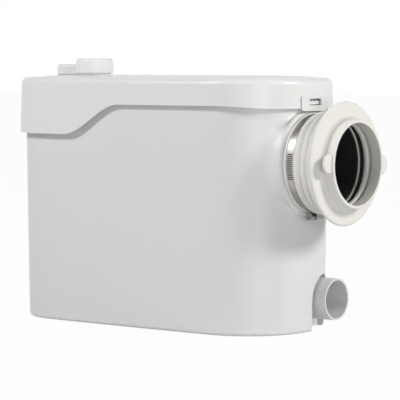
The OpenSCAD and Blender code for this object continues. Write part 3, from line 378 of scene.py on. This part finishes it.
connector_line = rounded(
    [(cuff_x, cuff_in, 0), (cuff_x, cuff_lip_r, 0.0009), (cuff_x + 0.0029, cuff_lip_r, 0.001),
     (cuff_x + 0.003, cuff_r, 0.0003), (0.1968, cuff_r, 0)]
    + rib(rib_1_x, rib_1_r, rib_2_x, rib_2_r, rib_h)
    + rib(rib_2_x, rib_2_r, neck_x, neck_r, rib_h)
    + [(neck_x, neck_r, 0.0008), (cone_x, cone_r, 0.002),
       (flange_x - 0.0012, flange_r - 0.0006, 0.0012), (flange_x + 0.0006, flange_r, 0.0012),
       (flange_x + 0.0022, flange_r - 0.0016, 0.0012),
       (flange_x + 0.003, 0.0508, 0.0012), (flange_x + 0.0058, 0.048, 0.0016),
       (rim_x - 0.0004, 0.0462, 0.0009), (rim_x, bore_r, 0.0008),
       (0.2308, bore_r, 0.0012), (0.2304, groove_r, 0.0012), (0.2262, groove_r, 0.0012),
       (0.2254, seat_r, 0.001), (0.2216, seat_r, 0.0008), (0.2214, cuff_in, 0.0006)])
connector = turned(connector_line, (0, 0, inlet_z), "X", turns=144)
tab_reach, tab_width, tab_thick = 0.0136, 0.0195, 0.0032
tab_corner_r, tab_edge_r = 0.0082, 0.0011
tab_tilt = radians(-2.5)
for side in (-1, 1):
    tab = bmesh.new()
    bmesh.ops.create_grid(tab, x_segments=1, y_segments=1, size=0.5)
    bmesh.ops.scale(tab, vec=(tab_reach, tab_width, 1), verts=tab.verts)
    tab_corners = [vert for vert in tab.verts if vert.co.x > 0]
    bmesh.ops.bevel(tab, geom=tab_corners, offset=tab_corner_r, affect="VERTICES", segments=8,
                    profile=0.5, material=-1)
    grown = bmesh.ops.extrude_face_region(tab, geom=tab.faces[:])
    grown_verts = [part for part in grown["geom"] if isinstance(part, bmesh.types.BMVert)]
    bmesh.ops.translate(tab, vec=(0, 0, tab_thick), verts=grown_verts)
    bmesh.ops.recalc_face_normals(tab, faces=tab.faces)
    tab_edges = [edge for edge in tab.edges if edge.calc_face_angle(0) > 0.8]
    bmesh.ops.bevel(tab, geom=tab_edges, offset=tab_edge_r, affect="EDGES", segments=3,
                    profile=0.5, material=-1)
    turn = Matrix.Rotation(radians(90), 4, "Y") @ Matrix.Rotation(radians(90), 4, "Z")
    bmesh.ops.transform(tab, matrix=turn, verts=tab.verts)
    if side < 0:
        bmesh.ops.transform(tab, matrix=Matrix.Rotation(pi, 4, "X"), verts=tab.verts)
    bmesh.ops.translate(tab, vec=(rim_x - 0.0056, side * (rim_r + 0.0066), 0), verts=tab.verts)
    bmesh.ops.transform(tab, matrix=Matrix.Rotation(tab_tilt, 4, "X"), verts=tab.verts)
    bmesh.ops.translate(tab, vec=(0, 0, inlet_z), verts=tab.verts)
    for face in tab.faces:
        face.smooth = True
    loose = bpy.data.meshes.new("grip_tab")
    tab.to_mesh(loose)
    tab.free()
    connector.from_mesh(loose)
new_piece("pan_connector", connector, "tank", off_white_rubber,
          ["wc_connector"])


# Clamp: a worm-drive hose clip of stainless strip round the cuff, with thread slots
# pressed through it, a housing below and a slotted hexagon screw. A thin near-black
# sheet under the strip is painted shade, so that the slots show dark like shadowed gaps.
def brushed_steel(name, colour, roughness, stretch, depth=0.000015):
    """Stainless with fine lines of its rolling and brushing, stretched one way."""
    finish = Finish(name, colour, roughness, 1.0)
    lines = finish.noise(finish.place(stretch), 1, 3, 0.6)
    cloud = finish.noise(finish.place(), 0.006, 2)
    finish.set("Roughness", lines * 0.16 + cloud * 0.1 + (roughness - 0.13))
    finish.set("Base Color", finish.colours(colour, [c * 0.72 for c in colour], lines))
    finish.relief(lines, depth, 0.6)
    return finish.material


def dress(names, material):
    """Gives carried-over CAD pieces their finish."""
    for name in names:
        data = cad[name].data
        data.materials.clear()
        data.materials.append(material)


# Painted shade: a near-black sheet under the clamp strip, so that its slots show dark.
slot_shadow = Finish("slot_shadow", (0.012, 0.011, 0.01), 0.8)
slot_shadow.relief(slot_shadow.noise(slot_shadow.place(), 0.001, 2), 0.00004, 0.5)
shade_sheet_x, shade_sheet_end_x, shade_sheet_in, shade_sheet_out = 0.1892, 0.1964, 0.0507, 0.05095
shade_sheet_line = [(shade_sheet_x, shade_sheet_in), (shade_sheet_x, shade_sheet_out),
              (shade_sheet_end_x, shade_sheet_out), (shade_sheet_end_x, shade_sheet_in)]
new_piece("slot_shade_sheet", turned(shade_sheet_line, (0, 0, inlet_z), "X", turns=144),
          "tank", slot_shadow.material)
band_steel = brushed_steel("band_steel", (0.5, 0.475, 0.45), 0.26, (4000, 60, 60))
screw_steel = brushed_steel("screw_steel", (0.66, 0.65, 0.64), 0.34, (900, 900, 900))
dress(["clamp_band"], band_steel)
worm_steel = brushed_steel("worm_steel", (0.3, 0.29, 0.28), 0.3, (900, 900, 900))
dress(["clamp_housing", "clamp_screw"], worm_steel)

# Lid: a deep moulded cover of the same ABS with a wave in its skirt, a snap tab with
# a window over the pan connector, and a neck for the vent.
lid_abs = moulding("lid_abs", (0.78, 0.78, 0.78), (0.765, 0.77, 0.782), 0.38)
lid_nodes = ["lid_shell", "lid_skirt"]
lid_cover = new_piece("lid_cover", merged_shell(lid_nodes, crease=32),
                      "lid", lid_abs, lid_nodes)
weigh_normals(lid_cover)

# Caps: two push-on caps moulded in white plastic with a softly rounded top edge, one on
# the discharge neck and one, lower, on the vent neck.
cap_white = moulding("cap_white", (0.83, 0.83, 0.825), (0.82, 0.82, 0.815), 0.36)
cap_r, cap_in, cap_foot_r, cap_t = 0.0207, 0.0183, 0.0202, 0.0024


def cap_line(low, top):
    """Half the section of a cap, from its low rim over the top and back inside."""
    return rounded([(low, cap_in, 0.0003), (low, cap_foot_r, 0.0006),
                    (low + 0.0012, cap_r, 0.0006), (top, cap_r, 0.0042), (top, 0.004, 0.006),
                    (top, 0.0, 0), (top - cap_t, 0.0, 0), (top - cap_t, cap_in, 0.0008)])


new_piece("discharge_cap_top", turned(cap_line(0.2731, 0.2897), (-0.09, -0.03, 0), "Z", 96),
          "discharge_cap", cap_white, ["discharge_cap"])
new_piece("vent_cap_top", turned(cap_line(0.2715, 0.2833), (-0.152, 0.008, 0), "Z", 96),
          "vent_cap", cap_white, ["vent_cap"])
dress(["discharge_neck", "vent_neck", "lid_ring"], cap_white)

# Black plastic pieces: glass-filled polypropylene, moulded with a fine grain, for the
# deck, the pump housing, the basket, the pipes and the small fittings.
black_pp = moulding("black_pp", (0.018, 0.018, 0.019), (0.024, 0.024, 0.026), 0.46, 0.0006, 0.00005)
grey_pp = moulding("grey_pp", (0.075, 0.078, 0.083), (0.09, 0.093, 0.1), 0.5, 0.0006, 0.00005)
dress(["inlet_sleeve", "macerator_basket", "inlet_duct", "pump_volute", "suction_plate",
       "discharge_pipe", "motor_can", "impeller", "microswitch"], black_pp)
dress(["deck_pan", "pressure_tube", "membrane_cup", "membrane_cover", "check_valve_body",
       "side_valve_seat", "cable_gland", "gland_nut"], grey_pp)

# Seals and flaps: black nitrile rubber, moulded or cut from sheet, matt and a little dusty.
black_rubber = rubber("black_rubber", (0.016, 0.016, 0.016), (0.03, 0.03, 0.03), 0.68)
dress(["inlet_seal", "lid_gasket", "side_flap", "discharge_flap", "membrane", "shaft_seal"],
      black_rubber)


# Motor inside: laminated steel core and rotor, windings of lacquered copper wire, a cast
# bracket, ball bearings, and the shaft with its cutting blade.
def stacked_sheets(name, colour, sheet):
    """Steel sheets stacked along the motor axis, a dark line between each pair."""
    finish = Finish(name, colour, 0.42, 0.85)
    rows = finish.add("ShaderNodeTexWave", {"wave_type": "BANDS", "bands_direction": "Z"},
                      {"Vector": finish.place(), "Scale": 0.314 / sheet, "Distortion": 0.2})
    finish.set("Base Color", finish.colours([c * 0.5 for c in colour], colour, rows))
    finish.relief(rows, 0.00008, 0.7)
    return finish.material


dress(["stator_core", "rotor_core"], stacked_sheets("core_sheets", (0.36, 0.37, 0.39), 0.001))
motor_x = 0.045
copper = Finish("copper_wire", (0.62, 0.27, 0.1), 0.3, 0.9)
strands = copper.add("ShaderNodeTexWave", {"wave_type": "RINGS", "rings_direction": "Z"},
                     {"Vector": copper.place(centre=(motor_x, 0, 0)), "Scale": 260.0,
                      "Distortion": 1.2, "Detail": 2.0})
copper.set("Base Color", copper.colours((0.25, 0.09, 0.03), (0.66, 0.29, 0.11), strands))
copper.relief(strands, 0.0002, 0.8)
dress(["stator_windings"], copper.material)
turned_steel = brushed_steel("turned_steel", (0.62, 0.62, 0.63), 0.26, (60, 60, 2500))
dress(["motor_shaft", "upper_bearing", "lower_bearing", "side_flap_pin",
       "discharge_flap_pin"], turned_steel)
blade_steel = brushed_steel("blade_steel", (0.6, 0.6, 0.61), 0.36, (1200, 200, 1200))
dress(["macerator_blade"], blade_steel)
dress(["motor_screws", "basket_screws", "pump_screws", "capacitor_clip"], screw_steel)
cast = Finish("cast_alloy", (0.42, 0.42, 0.43), 0.5, 0.85)
cast_grain = cast.noise(cast.place(), 0.0014, 4, 0.6)
cast.set("Roughness", cast_grain * 0.25 + 0.38)
cast.relief(cast_grain, 0.0001, 0.6)
dress(["motor_bracket"], cast.material)

# Deck fittings: capacitor can, terminal block and switch plunger of plain moulded
# plastics, and the pad of carbon foam in the vent.
pale_plastic = moulding("pale_plastic", (0.7, 0.69, 0.64), (0.67, 0.66, 0.61), 0.4)
dress(["capacitor", "terminal_block"], pale_plastic)
red_plastic = moulding("red_plastic", (0.5, 0.03, 0.02), (0.44, 0.025, 0.018), 0.4)
dress(["switch_plunger"], red_plastic)
foam = Finish("carbon_foam", (0.02, 0.02, 0.022), 0.95)
cells = foam.add("ShaderNodeTexVoronoi", {}, {"Vector": foam.place(), "Scale": 700.0})
foam.set("Base Color", foam.colours((0.006, 0.006, 0.006), (0.035, 0.035, 0.037), cells))
foam.relief(cells, 0.0006, 1.0)
dress(["vent_filter"], foam.material)
